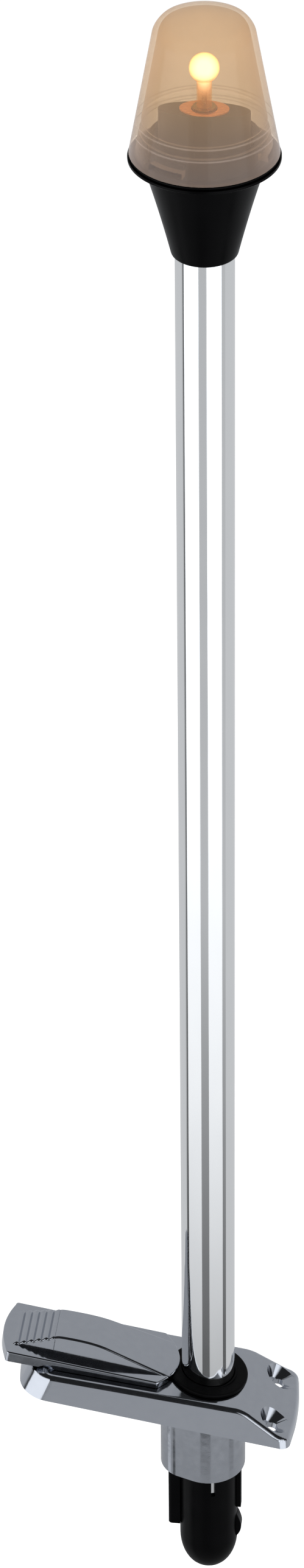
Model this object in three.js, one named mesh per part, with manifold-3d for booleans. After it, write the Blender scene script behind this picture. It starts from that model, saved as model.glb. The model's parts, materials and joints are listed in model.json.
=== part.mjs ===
// All-round navigation light on a plug-in pole, with a raked deck socket and a sliding cover.
// Millimetres, +Z up along the pole. The origin is where the pole's axis meets the deck plane.
// +X runs along the base towards its screw flange, which is the low end of the raked deck.
import * as THREE from 'three';
import { mergeVertices } from 'three/addons/utils/BufferGeometryUtils.js';
import Module from 'manifold-3d';

const wasm = await Module();
wasm.setup();

// ---- driving dimensions ----
const poleDiameter = 22.2;
const poleWall = 1.2;
const seatHeight = 593.2; // underside of the lamp housing's lip above the deck
const rake = THREE.MathUtils.degToRad(10); // the deck plane's slope, falling towards +X
const topSlope = THREE.MathUtils.degToRad(1.7); // the base's top rises by this against its underside

const globeHeight = 59.2;
const globeRadius = 27.6;
const globeShoulderRadius = 18.4;
const globeWall = 2.2;
const housingHeight = 39;

const baseLeft = 81; // from the pole's axis to the rounded end
const baseRight = 39.4; // from the pole's axis to the screw flange's end
const baseHalfWidth = 23.8;
const baseHeight = 13.1; // under the collar, square to the deck
const baseDraft = 0.27; // inward lean of the side walls
const flangeThickness = 4.6;
const screwPitch = 28;

const barrelDepth = 35.4; // below the deck
const insertionDepth = 56; // how far the pole stands in the socket, below the deck
const socketTail = 36; // from the pole's lower end to the socket's nose

// ---- clearances and small sizes ----
const running = 0.3; // between a moving piece and its neighbour
const seat = 0.3; // between pieces that bear on each other
const press = 0.1; // between pieces pushed together
const roundFacets = 32;
const smallFacets = 12;

const poleRadius = poleDiameter / 2;
const poleBore = poleRadius - poleWall;
const poleBottom = -insertionDepth;
const socketDepth = insertionDepth + socketTail;

// ---- helpers ----
function toSolid(geometry) {
  const bare = geometry.clone();
  bare.deleteAttribute('normal');
  bare.deleteAttribute('uv');
  const merged = mergeVertices(bare, 1e-4);
  const index = merged.index.array;
  const kept = [];
  for (let i = 0; i < index.length; i += 3) {
    const [a, b, c] = [index[i], index[i + 1], index[i + 2]];
    if (a !== b && b !== c && c !== a) kept.push(a, b, c);
  }
  return new wasm.Manifold(new wasm.Mesh({
    numProp: 3,
    vertProperties: new Float32Array(merged.attributes.position.array),
    triVerts: new Uint32Array(kept),
  }));
}

function toGeometry(solid) {
  const mesh = solid.getMesh();
  const geometry = new THREE.BufferGeometry();
  geometry.setAttribute('position', new THREE.BufferAttribute(new Float32Array(mesh.vertProperties), 3));
  geometry.setIndex(new THREE.BufferAttribute(new Uint32Array(mesh.triVerts), 1));
  return geometry;
}

function combine(operation, first, others) {
  const result = others.reduce((solid, other) => solid[operation](toSolid(other)), toSolid(first));
  return toGeometry(result);
}

const cut = (first, ...others) => combine('subtract', first, others);
const join = (first, ...others) => combine('add', first, others);
const common = (first, ...others) => combine('intersect', first, others);

// A profile of [radius, height] pairs, anticlockwise seen with the axis on the left, turned about Z.
function turned(profile, facets = roundFacets, closed = false) {
  const points = profile.map(([radius, height]) => new THREE.Vector2(radius, height));
  if (closed) points.push(points[0].clone());
  return new THREE.LatheGeometry(points, facets).rotateX(Math.PI / 2);
}

function rod(radius, bottom, top, x = 0, y = 0, facets = smallFacets) {
  const geometry = new THREE.CylinderGeometry(radius, radius, top - bottom, facets);
  return geometry.rotateX(Math.PI / 2).translate(x, y, (top + bottom) / 2);
}

function tube(inner, outer, bottom, top, facets = roundFacets) {
  return turned([[inner, bottom], [outer, bottom], [outer, top], [inner, top]], facets, true);
}

function block(low, high) {
  const size = high.map((value, axis) => value - low[axis]);
  const centre = high.map((value, axis) => (value + low[axis]) / 2);
  return new THREE.BoxGeometry(...size).translate(...centre);
}

function prism(shape, depth, curveSegments = 12) {
  return new THREE.ExtrudeGeometry(shape, { depth, bevelEnabled: false, curveSegments });
}

// A side view in X and Z, given its width along Y about the middle.
function sidePrism(shape, width, curveSegments = 12) {
  return prism(shape, width, curveSegments).rotateX(Math.PI / 2).translate(0, width / 2, 0);
}

function alongCurve(curve, radius, steps, sides = 8) {
  const section = new THREE.Shape();
  for (let i = 0; i < sides; i += 1) {
    const angle = (i / sides) * 2 * Math.PI;
    const point = [radius * Math.cos(angle), radius * Math.sin(angle)];
    if (i === 0) section.moveTo(...point);
    else section.lineTo(...point);
  }
  return new THREE.ExtrudeGeometry(section, { steps, bevelEnabled: false, extrudePath: curve });
}

class CoilCurve extends THREE.Curve {
  constructor(radius, turns, bottom, top) {
    super();
    Object.assign(this, { radius, turns, bottom, top });
  }

  getPoint(t, target = new THREE.Vector3()) {
    const angle = t * this.turns * 2 * Math.PI;
    const height = this.bottom + (this.top - this.bottom) * t;
    return target.set(this.radius * Math.cos(angle), this.radius * Math.sin(angle), height);
  }
}

const object = new THREE.Group();

function place(name, geometry, finish, group = object) {
  const mesh = new THREE.Mesh(geometry, new THREE.MeshStandardMaterial(finish));
  mesh.name = name;
  group.add(mesh);
}

const chrome = { color: '#c9ccd0', roughness: 0.08, metalness: 1 };
const polishedPole = { color: '#cfd1d3', roughness: 0.12, metalness: 1 };
const blackPlastic = { color: '#0b0c0e', roughness: 0.35, metalness: 0 };
const blackRubber = { color: '#08080a', roughness: 0.6, metalness: 0 };
const frosted = { color: '#d8c3a4', roughness: 0.35, metalness: 0 };
const clearGlass = { color: '#fff2da', roughness: 0.03, metalness: 0 };
const copper = { color: '#c2713a', roughness: 0.3, metalness: 1 };
const brass = { color: '#b8924a', roughness: 0.3, metalness: 1 };
const steel = { color: '#8f9296', roughness: 0.3, metalness: 1 };
const phenolic = { color: '#3a2418', roughness: 0.5, metalness: 0 };
const hotTungsten = { color: '#fff0c0', roughness: 0.5, metalness: 1 };
const redWire = { color: '#8c1712', roughness: 0.5, metalness: 0 };
const blackWire = { color: '#141416', roughness: 0.5, metalness: 0 };

// ---- lamp head, in a group whose zero is the underside of the housing's lip ----
const head = new THREE.Group();
head.position.z = seatHeight;
object.add(head);

const lipThickness = 1.5;
const lipRadius = globeRadius + 0.5;
const collarRadius = globeRadius - 7;
const collarWall = 1.8;
const collarHeight = 9.2;
const cupFloor = -7;
const poleSocketTop = -13.5;
const neckRadius = poleRadius + 1.5;
const shoulderRadius = collarRadius + 1.8;
const lugCount = 3;
const lugSpan = THREE.MathUtils.degToRad(34);
const housingLugReach = 2;
const housingLug = [6.6, 9]; // heights of the collar's lugs
const globeLug = [3.6, 6.2]; // heights of the globe's lugs, just below them
const sealThickness = 0.9;
const cupRadius = collarRadius - collarWall;

function lug(inner, outer, [bottom, top], middle) {
  const sector = new THREE.Shape();
  sector.absarc(0, 0, outer, middle - lugSpan / 2, middle + lugSpan / 2, false);
  sector.absarc(0, 0, inner, middle + lugSpan / 2, middle - lugSpan / 2, true);
  return prism(sector, top - bottom, 6).translate(0, 0, bottom);
}

function lugRing(inner, outer, heights, turn) {
  const angles = Array.from({ length: lugCount }, (_, i) => turn + (i / lugCount) * 2 * Math.PI);
  return angles.map((angle) => lug(inner, outer, heights, angle));
}

// The globe, a slightly tapered cup with a domed end, a bead inside and lugs that hook the collar.
const globeBottom = lipThickness + seat + sealThickness + seat;
const globeShoulder = globeHeight - 6.2;
const shoulderFillet = 2.4;
const beadHeights = [12.2, 16.6];
const beadDepth = 0.5;
const globeTaper = (globeRadius - globeShoulderRadius) / (globeShoulder - globeBottom);
const wallRadius = (height) => globeRadius - globeTaper * (height - globeBottom);

function domeProfile(inset) {
  const sideTop = globeShoulder - shoulderFillet;
  const side = new THREE.Vector2(wallRadius(sideTop) - inset, sideTop);
  const corner = new THREE.Vector2(globeShoulderRadius - inset, globeShoulder);
  const shoulderTop = new THREE.Vector2(
    globeShoulderRadius - shoulderFillet - inset / 2,
    globeShoulder + 2.4 - inset / 2,
  );
  const fillet = new THREE.QuadraticBezierCurve(side, corner, shoulderTop).getPoints(3);
  const apex = new THREE.Vector2(0, globeHeight - inset);
  const crownPull = new THREE.Vector2(shoulderTop.x / 2, apex.y);
  const crown = new THREE.QuadraticBezierCurve(shoulderTop, crownPull, apex);
  return [...fillet, ...crown.getPoints(4).slice(1)].map((point) => [Math.max(point.x, 0), point.y]);
}

function beadProfile() {
  const [low, high] = beadHeights;
  const wallAt = (height) => wallRadius(height) - globeWall;
  return [[wallAt(high), high], [wallAt(high) - beadDepth, high - 0.6],
    [wallAt(low) - beadDepth, low + 0.6], [wallAt(low), low]];
}

function globeGeometry() {
  const outside = domeProfile(0);
  const inside = domeProfile(globeWall).reverse();
  const shell = turned([
    [globeRadius, globeBottom],
    ...outside,
    ...inside,
    ...beadProfile(),
    [globeRadius - globeWall, globeBottom],
    [globeRadius, globeBottom],
  ]);
  const lugInner = collarRadius + running;
  const lugOuter = wallRadius(globeLug[1]) - globeWall / 2;
  return join(shell, ...lugRing(lugInner, lugOuter, globeLug, 0));
}

// The lamp housing: lip, collar with lugs, cup floor, tapered body and the sleeve for the pole.
function housingGeometry() {
  const bore = poleRadius + press;
  const bottom = -housingHeight;
  const cone = new THREE.QuadraticBezierCurve(
    new THREE.Vector2(neckRadius, bottom + 1),
    new THREE.Vector2((neckRadius + shoulderRadius) / 2 - 0.3, bottom / 2),
    new THREE.Vector2(shoulderRadius, -2),
  ).getPoints(5).map((point) => [point.x, point.y]);
  const body = turned([
    [bore, bottom],
    [neckRadius - 1, bottom],
    ...cone,
    [lipRadius - 0.4, 0],
    [lipRadius, 0.4],
    [lipRadius, lipThickness],
    [collarRadius, lipThickness],
    [collarRadius, collarHeight],
    [cupRadius, collarHeight],
    [cupRadius, cupFloor],
    [cableHole, cupFloor],
    [cableHole, poleSocketTop],
    [bore, poleSocketTop],
  ], roundFacets, true);
  const lugs = lugRing(collarRadius - 0.5, collarRadius + housingLugReach, housingLug, 0);
  const screwHole = rod(screwShank + press, 0, lipRadius).rotateX(-Math.PI / 2).translate(0, 0, screwHeight);
  const screwSeat = rod(screwHead + press, 0, lipRadius).rotateX(-Math.PI / 2)
    .translate(0, screwSeatRadius, screwHeight);
  const footHoles = pedestalScrewSpots.map((y) => rod(screwShank + press, cupFloor - 5, cupFloor + 1, 0, y));
  return cut(join(body, ...lugs), screwHole, screwSeat, ...footHoles);
}

const cableHole = poleBore - 4.9;
const screwShank = 1.3;
const screwHead = 2.4;
const screwHeight = -housingHeight + 13.8;
const screwSeatRadius = neckRadius + 2;
const footThickness = 2.4;
const pedestalHalfWidth = cupRadius - 1.9;
const pedestalHeight = 19.9;
const pedestalScrewSpots = [-11.6, 11.6];
const capRadius = 4.5;
const sleeveWall = 0.4;
const lampBore = capRadius + running + sleeveWall + press;
const pedestalHalfDepth = lampBore + 0.8;
const contactBore = 3.9;
const contactFloor = 2.4;
const contactTravel = 1.2;
const wireRadius = 0.9;
const wireOffset = 2.4;
const springBottom = cupFloor + seat + footThickness;
const frontGroove = { halfWidth: 3.2, depth: 0.4 };

function ovalShape(halfWidth, halfDepth) {
  const oval = new THREE.Shape();
  oval.absellipse(0, 0, halfWidth, halfDepth, 0, 2 * Math.PI, false);
  return oval;
}

// The pedestal: an oval tower on a round foot, bored for the bulb holder, with a groove on each face.
function pedestalGeometry() {
  const footBottom = cupFloor + seat;
  const tower = prism(ovalShape(pedestalHalfWidth, pedestalHalfDepth), pedestalHeight - footBottom, 18)
    .translate(0, 0, footBottom);
  const foot = rod(cupRadius - 2 * seat, footBottom, footBottom + footThickness, 0, 0, roundFacets);
  const grooves = [-1, 1].map((side) => {
    const inner = side * (pedestalHalfDepth - frontGroove.depth);
    const outer = side * (pedestalHalfDepth + 1);
    return block(
      [-frontGroove.halfWidth, Math.min(inner, outer), footBottom + footThickness],
      [frontGroove.halfWidth, Math.max(inner, outer), pedestalHeight - 1.5],
    );
  });
  const screwHoles = pedestalScrewSpots.map((y) => (
    rod(screwShank + press, footBottom - 1, footBottom + 6, 0, y)
  ));
  const leadHoles = [-1, 1].map((side) => (
    rod(wireRadius + press, footBottom - 1, springBottom, side * wireOffset, 0, 12)
  ));
  return cut(
    join(tower, foot),
    rod(lampBore, contactFloor, pedestalHeight + 1, 0, 0, 24),
    rod(contactBore, springBottom - seat, contactFloor + 1, 0, 0, 24),
    ...leadHoles,
    ...grooves,
    ...screwHoles,
  );
}

// Bulb holder and bulb.
const sleeveBottom = contactFloor + seat + 1;
const sleeveTop = pedestalHeight - 0.4;
const plateThickness = 0.6;
const plateHalfWidth = capRadius + 4.6;
const plateHalfDepth = pedestalHalfDepth - 0.2;
const capTop = pedestalHeight + 1.6;
const glassRadius = 5.6;
const glassNeck = 2.8;
const glassWall = 0.5;
const glassBottom = capTop + press;
const filamentHeight = 36.8;
const filamentLength = 5;
const mountReach = 1.2;
const plateBottom = pedestalHeight + press;
const capBottom = sleeveBottom + 1.6;
const contactTop = capBottom - running;

function lampPlateGeometry() {
  const plate = prism(ovalShape(plateHalfWidth, plateHalfDepth), plateThickness, 14)
    .translate(0, 0, plateBottom);
  return cut(plate, rod(capRadius + seat, plateBottom - 1, plateBottom + 2, 0, 0, 24));
}

// A round envelope about the filament, on a narrow neck.
function bulbGlassGeometry() {
  const envelope = (radius, neck) => {
    const start = Math.asin(neck / radius);
    const steps = 10;
    return Array.from({ length: steps + 1 }, (_, i) => {
      const angle = start + (i / steps) * (Math.PI - start);
      return [radius * Math.sin(angle), filamentHeight - radius * Math.cos(angle)];
    });
  };
  return turned([
    ...envelope(glassRadius - glassWall, glassNeck - glassWall).reverse(),
    [glassNeck - glassWall, glassBottom],
    [glassNeck, glassBottom],
    ...envelope(glassRadius, glassNeck),
  ], 18);
}

function filamentGeometry() {
  const half = filamentLength / 2;
  const coil = new CoilCurve(0.8, 5, filamentHeight - half, filamentHeight + half);
  return alongCurve(coil, 0.22, 40, 5);
}

// The glass bead and the two wires that carry the filament, made as one small fork.
function bulbMountGeometry() {
  const beadTop = glassBottom + 7;
  const bead = rod(0.9, glassBottom + 0.3, beadTop, 0, 0, 12);
  const wires = [-1, 1].map((side) => (
    rod(0.3, beadTop - 1, filamentHeight + (side * filamentLength) / 2, side * mountReach, 0, 8)
  ));
  const foot = block([-mountReach, -0.4, beadTop - 1.4], [mountReach, 0.4, beadTop - 0.4]);
  return join(bead, foot, ...wires);
}

place('globe', globeGeometry(), frosted, head);
const sealInner = collarRadius + housingLugReach + 1;
place('globe_seal', tube(
  sealInner,
  globeRadius - 0.2,
  lipThickness + seat,
  lipThickness + seat + sealThickness,
), blackRubber, head);
place('lamp_housing', housingGeometry(), blackPlastic, head);
place('lamp_pedestal', pedestalGeometry(), blackPlastic, head);
place('lamp_plate', lampPlateGeometry(), copper, head);
place('lamp_sleeve', tube(
  capRadius + running,
  capRadius + running + sleeveWall,
  sleeveBottom,
  sleeveTop,
  24,
), brass, head);
const springTop = contactTop - 1.4;
const springCoil = new CoilCurve(2.8, 4, springBottom, springTop);
place('contact_spring', alongCurve(springCoil, 0.35, 44, 5), steel, head);
place('lamp_contact', join(
  rod(3.3, contactTop - 0.9, contactTop, 0, 0, 20),
  rod(1.1, springBottom + contactTravel + seat, contactTop - 0.5, 0, 0, 12),
), brass, head);
place('bulb_cap', join(
  rod(capRadius, capBottom, capTop - 0.6, 0, 0, 24),
  rod(capRadius - 0.3, capTop - 1, capTop, 0, 0, 24),
), brass, head);
place('bulb_glass', bulbGlassGeometry(), clearGlass, head);
place('bulb_mount', bulbMountGeometry(), steel, head);
place('bulb_filament', filamentGeometry(), hotTungsten, head);

function screwGeometry(length) {
  const headHeight = 1.5;
  const body = join(rod(screwHead, 0, headHeight, 0, 0, 18), rod(screwShank, -length, 0.5, 0, 0, 12));
  return cut(body, block([-screwHead, -0.35, headHeight - 0.6], [screwHead, 0.35, headHeight + 1]));
}

pedestalScrewSpots.forEach((y, i) => {
  const screw = screwGeometry(footThickness + 3.5).translate(0, y, springBottom + press);
  place(`pedestal_screw_${i + 1}`, screw, steel, head);
});
const housingScrewLength = screwSeatRadius - poleBore;
place(
  'housing_screw',
  screwGeometry(housingScrewLength).rotateX(-Math.PI / 2).translate(0, screwSeatRadius + press, screwHeight),
  steel,
  head,
);

// ---- pole, with its wiring and plug ----
const poleTop = seatHeight + poleSocketTop - seat;
const plugFlange = 1.5;
const plugHeight = 16;
const pinRadius = 1.6;
const pinLength = 11;
const pinOffset = 4;
const grommetHeight = 4;

function poleGeometry() {
  const body = tube(poleBore, poleRadius, poleBottom, poleTop);
  const hole = rod(screwShank + press, 0, lipRadius).rotateX(-Math.PI / 2)
    .translate(0, 0, seatHeight + screwHeight);
  return cut(body, hole);
}

function plugGeometry() {
  const body = turned([
    [0, poleBottom - plugFlange - seat],
    [poleRadius - 0.4, poleBottom - plugFlange - seat],
    [poleRadius, poleBottom - plugFlange],
    [poleRadius, poleBottom - seat],
    [poleBore - press, poleBottom - seat],
    [poleBore - press, poleBottom + plugHeight],
    [0, poleBottom + plugHeight],
  ]);
  const pinHoles = [-1, 1].map((side) => rod(
    pinRadius + press,
    poleBottom - plugFlange - 2,
    poleBottom + 5,
    0,
    side * pinOffset,
  ));
  return cut(body, ...pinHoles);
}

place('pole_tube', poleGeometry(), polishedPole);
place('plug_body', plugGeometry(), phenolic);
const pinTop = poleBottom + 5 - seat;
const pinBottom = poleBottom - plugFlange - seat - pinLength;
['live', 'return'].forEach((name, i) => {
  const y = (i ? 1 : -1) * pinOffset;
  place(`plug_pin_${name}`, join(
    rod(pinRadius, pinBottom + 1, pinTop, 0, y),
    new THREE.SphereGeometry(pinRadius, 12, 6).translate(0, y, pinBottom + 1),
  ), brass);
});
place('wire_grommet', tube(
  cableHole - 1,
  poleBore - press,
  poleTop - grommetHeight,
  poleTop - seat,
  24,
), blackRubber);
const wireTop = seatHeight + cupFloor + 1;
const wireBottom = poleBottom + plugHeight + seat;
['live', 'return'].forEach((name, i) => {
  const side = i ? 1 : -1;
  const path = new THREE.CatmullRomCurve3([
    new THREE.Vector3(side * wireOffset, 0, wireBottom),
    new THREE.Vector3(side * (wireOffset + 0.6), 1.5, wireBottom + 0.27 * (wireTop - wireBottom)),
    new THREE.Vector3(side * (wireOffset + 0.6), -1.5, wireBottom + 0.6 * (wireTop - wireBottom)),
    new THREE.Vector3(side * wireOffset, 0, poleTop - 30),
    new THREE.Vector3(side * wireOffset, 0, wireTop),
  ]);
  place(`wire_${name}`, alongCurve(path, wireRadius, 16, 8), i ? blackWire : redWire);
});

// ---- deck base ----
const baseLength = baseLeft + baseRight;
const baseMiddle = (baseRight - baseLeft) / 2;
const cornerLeft = 12;
const cornerRight = 4;
const endBow = 2.6;
const rampStart = 14.5;
const rampEnd = 32.5;
const rampLead = 1.1; // how far the top has already dropped where the ramp turns straight
const holeSetback = 11.2; // the flange's screw line from its end
const rearHoleSetback = 10; // the other screw line from the rounded end
const screwHoleRadius = 2.6;
const countersinkRadius = screwHoleRadius + 4;
const countersinkDepth = 4.2;
const topSkin = 3;

const topAt = (x) => baseHeight + x * Math.tan(topSlope);

// Plan view: straight sides, a big corner at the rounded end, a small one at the flange.
function basePlan() {
  const plan = new THREE.Shape();
  const left = -baseLeft;
  const right = baseRight - endBow;
  const half = baseHalfWidth;
  plan.moveTo(left + 1.2, -half + cornerLeft);
  plan.quadraticCurveTo(left + 1.8, -half + 1.6, left + cornerLeft + 3, -half + 0.6);
  plan.quadraticCurveTo(left + 3 * cornerLeft, -half, left + 4 * cornerLeft, -half);
  plan.lineTo(right - cornerRight, -half);
  plan.quadraticCurveTo(right, -half, right + 0.4, -half + cornerRight);
  plan.quadraticCurveTo(right + 2 * endBow - 0.4, 0, right + 0.4, half - cornerRight);
  plan.quadraticCurveTo(right, half, right - cornerRight, half);
  plan.lineTo(left + 4 * cornerLeft, half);
  plan.quadraticCurveTo(left + 3 * cornerLeft, half, left + cornerLeft + 3, half - 0.6);
  plan.quadraticCurveTo(left + 1.8, half - 1.6, left + 1.2, half - cornerLeft);
  plan.quadraticCurveTo(left - 1.2, 0, left + 1.2, -half + cornerLeft);
  return plan;
}

// Side view: flat underside, top rising gently to the ramp, ramp down to the flange.
function baseSide() {
  const side = new THREE.Shape();
  const low = -baseLeft - 10;
  const high = baseRight + 10;
  side.moveTo(low, 0);
  side.lineTo(high, 0);
  side.lineTo(high, flangeThickness);
  side.lineTo(rampEnd + 2, flangeThickness);
  side.quadraticCurveTo(rampEnd, flangeThickness, rampEnd - 2, flangeThickness + rampLead);
  side.lineTo(rampStart + 2, topAt(rampStart) - rampLead);
  side.quadraticCurveTo(rampStart, topAt(rampStart), rampStart - 3, topAt(rampStart - 3));
  side.lineTo(low, topAt(low));
  return side;
}

function drafted(geometry) {
  const position = geometry.attributes.position;
  for (let i = 0; i < position.count; i += 1) {
    const inset = baseDraft * position.getZ(i);
    const x = baseMiddle + (position.getX(i) - baseMiddle) * (1 - (2 * inset) / baseLength);
    position.setXY(i, x, position.getY(i) * (1 - inset / baseHalfWidth));
  }
  return geometry;
}

const rampDrop = topAt(rampStart) - flangeThickness - 2 * rampLead;
const rampFall = Math.atan2(rampDrop, rampEnd - rampStart - 4);
const flangeHoleX = baseRight - holeSetback;
const rearHoleX = -baseLeft + rearHoleSetback;
const rampAt = (x) => topAt(rampStart) - rampLead - (x - rampStart - 2) * Math.tan(rampFall);

// A screw hole square to the deck, with its countersink square to the surface that it breaks.
function screwHoleTools(x, y, surface, lean, radius) {
  const over = 2;
  const slope = (radius - screwHoleRadius) / countersinkDepth;
  const tall = countersinkDepth + over;
  const cone = new THREE.CylinderGeometry(radius + over * slope, screwHoleRadius, tall, 20)
    .rotateX(Math.PI / 2)
    .translate(0, 0, (over - countersinkDepth) / 2)
    .rotateY(lean)
    .translate(x, y, surface);
  return [rod(screwHoleRadius, -1, surface + over, x, y), cone];
}

// The cover's slide: its frame has X along the slide and Z square to the base's top.
const slideTilt = rake - topSlope;
const slideHeight = baseHeight / (Math.cos(rake) + Math.sin(rake) * Math.tan(topSlope));
const openingTravel = 6;
const coverLeft = baseLeft + 7.2;
const crestX = -coverLeft + 23.2;
const rivetSpots = [crestX, crestX + 7];
const slotHalfWidth = 2.2;
const stemRadius = slotHalfWidth - running;
const retainer = { from: crestX - 4, to: crestX + 11, halfWidth: 8, thickness: 1.2, drop: 0.9 };

const fromDeck = (geometry) => geometry.rotateY(rake);
const fromSlide = (geometry) => geometry.rotateY(slideTilt).translate(0, 0, slideHeight);

// Barrel below the deck: a round bore with a lobe for the socket's key, along the pole.
const socketWall = 0.9;
const barrelWall = 3;
const socketRadius = poleRadius + running + socketWall;
const barrelBore = socketRadius + running;
const barrelRadius = barrelBore + barrelWall;
const lobeRadius = barrelRadius - 2.4;
const keyReach = socketRadius + 4.7;
const lobeOffset = keyReach + running + barrelWall - lobeRadius;
const keyHalfWidth = 4.5;
const ribReach = socketRadius + 1.7;
const ribHalfWidth = 1.8;
const keyTop = -7;

// Room under the base for the retainer, which stops short of the barrel when the cover closes.
const cavity = {
  from: retainer.from - openingTravel - 0.4,
  to: -(lobeOffset + lobeRadius) - 0.6,
  halfWidth: retainer.halfWidth + 2,
};
const closingTravel = cavity.to - retainer.to;

function barrelPlan() {
  const contact = Math.acos((barrelRadius - lobeRadius) / lobeOffset);
  const plan = new THREE.Shape();
  plan.absarc(0, 0, barrelRadius, -Math.PI + contact, Math.PI - contact, false);
  plan.absarc(-lobeOffset, 0, lobeRadius, Math.PI - contact, Math.PI + contact, false);
  return plan;
}

function baseGeometry() {
  const width = 2 * baseHalfWidth + 10;
  const plate = fromDeck(common(
    drafted(prism(basePlan(), baseHeight + 3, 6)),
    sidePrism(baseSide(), width, 6),
  ));
  const barrel = prism(barrelPlan(), barrelDepth + 5, 18).translate(0, 0, -barrelDepth);
  const below = -barrelDepth - 1;
  const slotTop = keyTop + running;
  const slotFrom = rivetSpots[0] - openingTravel - slotHalfWidth;
  const slotTo = rivetSpots[1] + closingTravel + slotHalfWidth;
  const tools = [
    rod(barrelBore, below, baseHeight + 20, 0, 0, roundFacets),
    block([-keyReach - running, -keyHalfWidth - running, below], [0, keyHalfWidth + running, slotTop]),
    block([0, -ribHalfWidth - running, below], [ribReach + running, ribHalfWidth + running, slotTop]),
    fromSlide(block([slotFrom, -slotHalfWidth, -2 * topSkin], [slotTo, slotHalfWidth, 1])),
    fromSlide(block(
      [cavity.from, -cavity.halfWidth, -3 * baseHeight],
      [cavity.to, cavity.halfWidth, -topSkin],
    )),
  ];
  const y = screwPitch / 2;
  [-y, y].forEach((spot) => {
    const front = screwHoleTools(flangeHoleX, spot, rampAt(flangeHoleX), rampFall, countersinkRadius);
    const rear = screwHoleTools(rearHoleX, spot, topAt(rearHoleX), -topSlope, countersinkRadius - 1.4);
    tools.push(...front.map(fromDeck), ...rear.map(fromDeck));
  });
  return cut(join(plate, barrel), ...tools);
}

// The black collar around the pole: a flange on the base's top with a neck into the bore.
const collarRingRadius = barrelRadius + 1.1;
const collarRingHeight = 1.7;
const neckDepth = 7;

function collarRingGeometry() {
  const flange = fromSlide(turned([
    [0, running],
    [collarRingRadius, running],
    [collarRingRadius, running + collarRingHeight - 0.6],
    [collarRingRadius - 0.6, running + collarRingHeight],
    [0, running + collarRingHeight],
  ]));
  const neck = rod(socketRadius - press, slideHeight - neckDepth, slideHeight + 1, 0, 0, roundFacets);
  return cut(join(flange, neck), rod(poleRadius + running, -10, 40, 0, 0, roundFacets));
}

place('base_casting', baseGeometry(), chrome);
place('collar_ring', collarRingGeometry(), blackRubber);

// ---- sliding cover, in the slide's frame ----
const slide = new THREE.Group();
slide.position.z = slideHeight;
slide.rotation.y = slideTilt;
object.add(slide);

const coverTip = poleRadius + 1.4; // the tip overhangs the collar and just clears the pole
const tipDepth = 7.5; // how far the tip's corners stand back from its middle
const coverHalfWidth = baseHalfWidth - 7.5;
const coverBow = 3;
const brimLeft = 5.6; // the brim's top above the base at the thumb end
const brimTip = 3.2;
const crestHeight = 12.6;
const crownTopHalfWidth = coverHalfWidth - 7.3;
const crownDraft = 0.25;
const ridgeCount = 6;
const ridgeHeight = 0.9;
const rampFoot = -coverLeft + 3.7;
const coverHollow = { from: crestX - 11, to: crestX + 27, halfWidth: 7.6, height: 3.4 };

// The tip is an arc that reaches over the collar, and the thumb end bows outwards.
function coverPlan() {
  const plan = new THREE.Shape();
  const tipCorner = -coverTip - tipDepth;
  const tipPull = -2 * coverTip - tipCorner - 0.6;
  const left = -coverLeft + coverBow;
  plan.moveTo(left, -coverHalfWidth + 1.5);
  plan.quadraticCurveTo(left, -coverHalfWidth, left + 1.5, -coverHalfWidth);
  plan.lineTo(tipCorner - 1, -coverHalfWidth);
  plan.quadraticCurveTo(tipCorner, -coverHalfWidth, tipCorner + 0.6, -coverHalfWidth + 1);
  plan.quadraticCurveTo(tipPull, 0, tipCorner + 0.6, coverHalfWidth - 1);
  plan.quadraticCurveTo(tipCorner, coverHalfWidth, tipCorner - 1, coverHalfWidth);
  plan.lineTo(left + 1.5, coverHalfWidth);
  plan.quadraticCurveTo(left, coverHalfWidth, left, coverHalfWidth - 1.5);
  plan.quadraticCurveTo(-coverLeft - coverBow, 0, left, -coverHalfWidth + 1.5);
  return plan;
}

const brimAt = (x) => brimTip + ((brimLeft - brimTip) * (-coverTip - x)) / (coverLeft - coverTip);

function brimSide() {
  const side = new THREE.Shape();
  side.moveTo(-coverLeft - 5, running);
  side.lineTo(0, running);
  side.lineTo(0, brimAt(0));
  side.lineTo(-coverLeft - 5, brimAt(-coverLeft - 5));
  return side;
}

// Side view of the crown: a ridged thumb ramp, the crest, and a long convex back down to the tip.
function crownSide() {
  const side = new THREE.Shape();
  const footHeight = brimAt(rampFoot) - 0.4;
  const pitch = (crestX - rampFoot) / (ridgeCount + 0.5);
  const rise = (crestHeight - ridgeHeight - footHeight) / (ridgeCount + 0.5);
  side.moveTo(-coverTip - 2, 1);
  side.lineTo(-coverTip - 2, brimTip - 0.4);
  side.quadraticCurveTo(crestX + 35, crestHeight - 5.4, crestX + 21, crestHeight - 1.5);
  side.quadraticCurveTo(crestX + 14, crestHeight + 0.3, crestX + 2, crestHeight);
  side.quadraticCurveTo(crestX, crestHeight, crestX - 1, crestHeight - 0.6);
  for (let i = ridgeCount; i > 0; i -= 1) {
    const x = rampFoot + i * pitch;
    const height = footHeight + i * rise;
    side.lineTo(x + 0.3 * pitch, height);
    side.quadraticCurveTo(x, height + 2 * ridgeHeight, x - 0.4 * pitch, height - 0.3 * rise);
  }
  side.lineTo(rampFoot, footHeight);
  side.lineTo(rampFoot, 1);
  return side;
}

function crownGeometry() {
  const bottomHalfWidth = crownTopHalfWidth + crownDraft * (crestHeight - 1);
  const crown = sidePrism(crownSide(), 2 * bottomHalfWidth, 4);
  const position = crown.attributes.position;
  for (let i = 0; i < position.count; i += 1) {
    const inset = crownDraft * (position.getZ(i) - 1);
    position.setY(i, Math.sign(position.getY(i)) * (bottomHalfWidth - inset));
  }
  return crown;
}

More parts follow.
